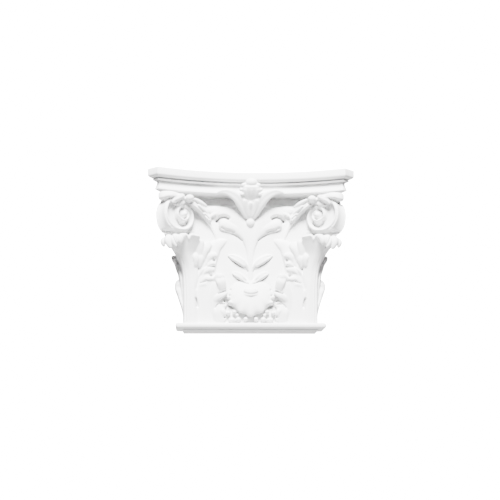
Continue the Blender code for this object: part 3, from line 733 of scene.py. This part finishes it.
CUTS = (
    (16.0, 1.9, ((51, 168.6), (46.5, 173), (41, 174.6), (36.5, 173.8), (33.5, 172))),
    (3.0, 1.6, ((25, 150), (31, 152.4), (38, 153.8), (43, 157))),
    (4.6, 1.7, ((110.5, 165.5), (108, 160.4), (103, 158.2), (98.4, 159.8), (95.8, 164))),
    (6.0, 1.5, ((131.5, 146.5), (118, 147), (104, 147.6), (94, 148))),
    (8.0, 1.2, ((133, 206.5), (120, 207.4), (105, 207), (92, 205))),
    (8.0, 1.8, ((137, 190.5), (130, 191.4), (124, 193.5))),
    (6.0, 1.6, ((97, 192.4), (92, 191), (87.6, 193))),
    (4.0, 1.1, ((12, 138.5), (19, 144.3), (27, 148.6))),
    (3.2, 1.0, ((4, 91), (8, 96.5), (15, 99.2), (21.5, 103), (28.5, 107.6), (33, 112.6))),
    (3.0, 1.0, ((4, 71.6), (8, 73), (17.6, 78.2), (26, 84))),
    (7.0, 1.6, ((55.1, 108.6), (55.1, 107.4))),
    (4.0, 1.1, ((64.5, 97.6), (59, 96.8), (54.3, 97.8))),
    (7.0, 1.8, ((60, 85), (59, 84))),
    (3.0, 1.0, ((75.5, 72.6), (70, 74), (67, 76))),
    (1.6, 2.0, ((63, 103), (70, 91), (77, 80), (81.5, 64))),
    (6.5, 1.3, ((82, 49), (80.4, 43), (79.8, 37))),
    (5.0, 1.2, ((48, 57), (43.5, 57.8), (38.5, 60.5))),
    (4.5, 1.4, ((39.5, 46.4), (39.3, 45.4))),
    (3.0, 1.0, ((46.5, 41.2), (39, 40.6))),
    (2.4, 1.0, ((52.9, 34.5), (50.5, 39), (46.8, 42))),
    (4.5, 1.3, ((39, 21.6), (38.8, 20.6))),
    (8.0, 2.2, ((32.5, 38.5), (27, 36.5))),
    (4.5, 1.3, ((31.4, 54), (31, 53.2))),
    (3.5, 1.1, ((30, 63), (29.8, 62.2))),
    (4.0, 1.3, ((99.6, 168.8), (98.4, 169.8))),
    (3.5, 1.2, ((113, 189.6), (110, 190.6))),
    (2.4, 1.2, ((68, 174.5), (63, 169.5))),
    (2.0, 1.0, ((118, 139), (114.5, 130), (111, 124))),
)


def cut_accents(piece):
    """Pushes the front surface towards the wall along every cut, on both sides of the centre line."""
    points = points_of(piece)
    x = np.abs(points[:, 0]) / MM
    z = points[:, 2] / MM
    pushed = np.zeros(len(points))
    for depth, width, route in CUTS:
        route = np.array(route, float)
        low = route.min(axis=0) - width * 3
        high = route.max(axis=0) + width * 3
        near = np.flatnonzero((x > low[0]) & (x < high[0]) & (z > low[1]) & (z < high[1]))
        spots = np.stack([x[near], z[near]], axis=1)
        closest = np.full(len(near), 1e9)
        for start, end in zip(route[:-1], route[1:]):
            span = end - start
            share = np.clip((spots - start) @ span / (span @ span), 0, 1)
            closest = np.minimum(closest, np.linalg.norm(spots - start - share[:, None] * span, axis=1))
        pushed[near] = np.maximum(pushed[near], depth * bump(closest, width))
    out = (WALL_Y - points[:, 1]) / MM
    points[:, 1] += pushed * MM * np.clip((out - CUT_STARTS) / CUT_FADES, 0, 1)
    set_points(piece, points)


# Casting

def cut_at_wall(casting):
    """Cuts the back flat with a block that stands for the wall."""
    deselect_all()
    bpy.ops.mesh.primitive_cube_add(size=1, location=CUTTER_PLACE)
    wall = bpy.context.object
    wall.scale = CUTTER_SIZE
    bpy.ops.object.transform_apply(location=True, rotation=False, scale=True)
    apply_modifier(casting, "BOOLEAN", operation="DIFFERENCE", object=wall, solver="MANIFOLD")
    bpy.data.objects.remove(wall)


def unite(casting, moulding):
    apply_modifier(casting, "BOOLEAN", operation="UNION", object=moulding, solver="MANIFOLD")
    bpy.data.objects.remove(moulding)


def thin_out(casting, most):
    """Brings the casting under a number of triangles and drops what that leaves loose."""
    apply_modifier(casting, "TRIANGULATE")
    count = len(casting.data.polygons)
    if count > most:
        apply_modifier(casting, "DECIMATE", ratio=most / count)
    return drop_slivers(casting)


# Materials

class Socket:
    """Wraps a shader socket, so that sums on values are written as plain maths."""

    def __init__(self, tree, output):
        self.tree = tree
        self.output = output

    def combine(self, operation, *values):
        return node(self.tree, "ShaderNodeMath", {"operation": operation}, dict(enumerate(values)))

    def __add__(self, other):
        return self.combine("ADD", self, other)

    def __radd__(self, other):
        return self.combine("ADD", other, self)

    def __sub__(self, other):
        return self.combine("SUBTRACT", self, other)

    def __rsub__(self, other):
        return self.combine("SUBTRACT", other, self)

    def __mul__(self, other):
        return self.combine("MULTIPLY", self, other)

    def __rmul__(self, other):
        return self.combine("MULTIPLY", other, self)


def node(tree, kind, settings, values, result=0):
    """Adds a node: its settings first, then the values or links of its sockets."""
    made = tree.nodes.new(kind)
    for setting, value in settings.items():
        setattr(made, setting, value)
    for socket, value in values.items():
        if isinstance(value, Socket):
            tree.links.new(value.output, made.inputs[socket])
        else:
            made.inputs[socket].default_value = value
    return Socket(tree, made.outputs[result])


def plaster_material(finish):
    """Matt white plaster: faint greyer patches, soft trowel unevenness and a fine powdery grain."""
    material = bpy.data.materials.new("white_plaster")
    material.use_nodes = True
    tree = material.node_tree
    shader = tree.nodes["Principled BSDF"]
    place = node(tree, "ShaderNodeTexCoord", {}, {}, "Object")
    patches = node(tree, "ShaderNodeTexNoise", {}, {"Vector": place, "Scale": 22.0, "Detail": 3.0}, "Fac")
    grain = node(tree, "ShaderNodeTexNoise", {}, {"Vector": place, "Scale": 900.0, "Detail": 2.0}, "Fac")
    uneven = node(tree, "ShaderNodeTexNoise", {}, {"Vector": place, "Scale": 90.0, "Detail": 3.0}, "Fac")
    amount = patches * 0.8 + grain * 0.2 - 0.2
    colour = node(tree, "ShaderNodeMix", {"data_type": "RGBA"},
                  {"Factor": amount, 6: (*finish.plaster, 1), 7: (*finish.plaster_shade, 1)}, 2)
    tree.links.new(colour.output, shader.inputs["Base Color"])
    roughness = grain * 0.08 + uneven * 0.08 + (finish.roughness - 0.08)
    tree.links.new(roughness.output, shader.inputs["Roughness"])
    relief = uneven * 0.6 + grain * 0.4
    raised = node(tree, "ShaderNodeBump", {}, {"Strength": 0.12, "Distance": 0.0006, "Height": relief},
                  "Normal")
    tree.links.new(raised.output, shader.inputs["Normal"])
    return material


def plain_material(name, colour, roughness):
    material = bpy.data.materials.new(name)
    material.use_nodes = True
    tree = material.node_tree
    shader = tree.nodes["Principled BSDF"]
    place = node(tree, "ShaderNodeTexCoord", {}, {}, "Object")
    mottle = node(tree, "ShaderNodeTexNoise", {}, {"Vector": place, "Scale": 6.0, "Detail": 2.0}, "Fac")
    mixed = node(tree, "ShaderNodeMix", {"data_type": "RGBA"},
                 {"Factor": mottle, 6: (*colour, 1), 7: (*[part * 0.98 for part in colour], 1)}, 2)
    tree.links.new(mixed.output, shader.inputs["Base Color"])
    shader.inputs["Roughness"].default_value = roughness
    return material


# Operators, in the order that main calls them

class CAPITAL_OT_bell(bpy.types.Operator):
    """Raises the bell behind the leaves"""
    bl_idname = "capital.bell"
    bl_label = "Bell"

    def execute(self, context):
        bell = raise_outline("bell", bell_levels(context.scene.capital_sizes))
        bell["carving"] = True
        return {"FINISHED"}


class CAPITAL_OT_stem_leaves(bpy.types.Operator):
    """Carves the stem with its three pairs of leaves, the pearl, the calyx and the fleuron"""
    bl_idname = "capital.stem_leaves"
    bl_label = "Stem, calyx and fleuron"

    def execute(self, context):
        carve_stem_leaves()
        carve_calyx()
        carve_fleuron()
        return {"FINISHED"}


class CAPITAL_OT_flower(bpy.types.Operator):
    """Carves the domed flower and its beads at the foot"""
    bl_idname = "capital.flower"
    bl_label = "Flower"

    def execute(self, context):
        carve_flower()
        return {"FINISHED"}


class CAPITAL_OT_acanthus(bpy.types.Operator):
    """Carves the inner, corner and side leaves with their curled ends"""
    bl_idname = "capital.acanthus"
    bl_label = "Acanthus leaves"

    def execute(self, context):
        carve_inner_leaves()
        carve_corner_leaf(context.scene.capital_sizes)
        carve_toes()
        carve_side_leaves()
        return {"FINISHED"}


class CAPITAL_OT_volutes(bpy.types.Operator):
    """Carves the volutes, their stalks and the husks on them"""
    bl_idname = "capital.volutes"
    bl_label = "Volutes"

    def execute(self, context):
        carve_volute(context.scene.capital_sizes)
        carve_husks()
        return {"FINISHED"}


class CAPITAL_OT_casting(bpy.types.Operator):
    """Casts all the carving and the mouldings as one white piece"""
    bl_idname = "capital.casting"
    bl_label = "Casting"

    def execute(self, context):
        sizes = context.scene.capital_sizes
        carving = [piece for piece in bpy.data.objects if piece.get("carving")]
        casting = join_pieces(carving, "white_casting")
        apply_modifier(casting, "REMESH", mode="VOXEL", voxel_size=sizes.grain, use_smooth_shade=True)
        apply_modifier(casting, "SMOOTH", factor=0.5, iterations=2)
        cut_accents(casting)
        cut_at_wall(casting)
        unite(casting, raise_outline("abacus", abacus_levels(sizes)))
        unite(casting, raise_outline("foot", foot_levels(sizes)))
        if not casting.data.polygons:
            raise RuntimeError("the casting came out empty")
        casting = thin_out(casting, sizes.faces)
        select_only([casting])
        bpy.ops.object.shade_smooth_by_angle(angle=SMOOTH_ANGLE)
        casting.data.materials.clear()
        casting.data.materials.append(plaster_material(context.scene.capital_finish))
        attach(casting, "root")
        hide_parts("capital")
        return {"FINISHED"}


class CAPITAL_OT_stage(bpy.types.Operator):
    """Adds the pale floor, the soft studio light and the camera"""
    bl_idname = "capital.stage"
    bl_label = "Stage"

    def execute(self, context):
        finish = context.scene.capital_finish
        deselect_all()
        bpy.ops.mesh.primitive_plane_add(size=FLOOR_SIZE, location=(0, 0, FLOOR_Z))
        floor = bpy.context.object
        floor.name = "studio_floor"
        bpy.ops.object.transform_apply(location=True, rotation=False, scale=False)
        floor.data.materials.append(plain_material("pale_floor", finish.floor, 0.7))
        light_studio()
        place_camera()
        return {"FINISHED"}


def light_studio():
    world_light = bpy.data.worlds.new("white_studio")
    bpy.context.scene.world = world_light
    world_light.use_nodes = True
    tree = world_light.node_tree
    tree.nodes.clear()
    seen = node(tree, "ShaderNodeLightPath", {}, {}, "Is Camera Ray")
    lit = node(tree, "ShaderNodeBackground", {}, {"Color": (1, 1, 1, 1), "Strength": AMBIENT_LIGHT})
    white = node(tree, "ShaderNodeBackground", {}, {"Color": (1, 1, 1, 1), "Strength": BACKDROP_LIGHT})
    mixed = node(tree, "ShaderNodeMixShader", {}, {0: seen, 1: lit, 2: white})
    output = tree.nodes.new("ShaderNodeOutputWorld")
    tree.links.new(mixed.output, output.inputs["Surface"])
    light = bpy.data.lights.new("key", "AREA")
    light.shape = "DISK"
    light.size = LAMP_SIZE
    light.energy = LAMP_POWER
    lamp = bpy.data.objects.new("key", light)
    bpy.context.collection.objects.link(lamp)
    aim = Vector(LAMP_AIM) - Vector(LAMP_PLACE)
    lamp.matrix_world = Matrix.Translation(LAMP_PLACE) @ aim.to_track_quat("-Z", "Y").to_matrix().to_4x4()


def place_camera():
    """Camera at the photograph's view: to the left of and below the capital, looking up."""
    yaw, pitch, roll = CAMERA_YAW, CAMERA_PITCH, CAMERA_ROLL
    ahead = Vector((math.sin(yaw) * math.cos(pitch), math.cos(yaw) * math.cos(pitch), math.sin(pitch)))
    right = Vector((math.cos(yaw), -math.sin(yaw), 0))
    up = right.cross(ahead)
    rolled_right = right * math.cos(roll) + up * math.sin(roll)
    rolled_up = up * math.cos(roll) - right * math.sin(roll)
    lens = bpy.data.cameras.new("photo_view")
    lens.sensor_width = FILM_WIDTH
    lens.lens = FILM_WIDTH * FOCAL_LENGTH / PHOTO_WIDTH
    camera = bpy.data.objects.new("photo_view", lens)
    bpy.context.collection.objects.link(camera)
    place = Vector((CAMERA_X, WALL_Y - CAMERA_OUT, CAMERA_Z))
    turned = Matrix((rolled_right, rolled_up, -ahead)).transposed().to_4x4()
    camera.matrix_world = Matrix.Translation(place) @ turned
    bpy.context.scene.camera = camera


class CAPITAL_PT_panel(bpy.types.Panel):
    """Lists the capital's sizes, finish and steps"""
    bl_idname = "CAPITAL_PT_panel"
    bl_label = "Capital"
    bl_space_type = "VIEW_3D"
    bl_region_type = "UI"
    bl_category = "Capital"

    def draw(self, context):
        for group in (context.scene.capital_sizes, context.scene.capital_finish):
            for name in group.__annotations__:
                self.layout.prop(group, name)
        for step in STEPS:
            self.layout.operator(step.bl_idname)


STEPS = (CAPITAL_OT_bell, CAPITAL_OT_stem_leaves, CAPITAL_OT_flower, CAPITAL_OT_acanthus,
         CAPITAL_OT_volutes, CAPITAL_OT_casting, CAPITAL_OT_stage)
CLASSES = (CapitalSizes, CapitalFinish) + STEPS + (CAPITAL_PT_panel,)


def register():
    for cls in CLASSES:
        bpy.utils.register_class(cls)
    bpy.types.Scene.capital_sizes = PointerProperty(type=CapitalSizes)
    bpy.types.Scene.capital_finish = PointerProperty(type=CapitalFinish)


def unregister():
    del bpy.types.Scene.capital_finish
    del bpy.types.Scene.capital_sizes
    for cls in reversed(CLASSES):
        bpy.utils.unregister_class(cls)


def main():
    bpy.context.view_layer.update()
    register()
    bpy.ops.capital.bell()
    bpy.ops.capital.stem_leaves()
    bpy.ops.capital.flower()
    bpy.ops.capital.acanthus()
    bpy.ops.capital.volutes()
    bpy.ops.capital.casting()
    bpy.ops.capital.stage()


if __name__ == "__main__":
    main()
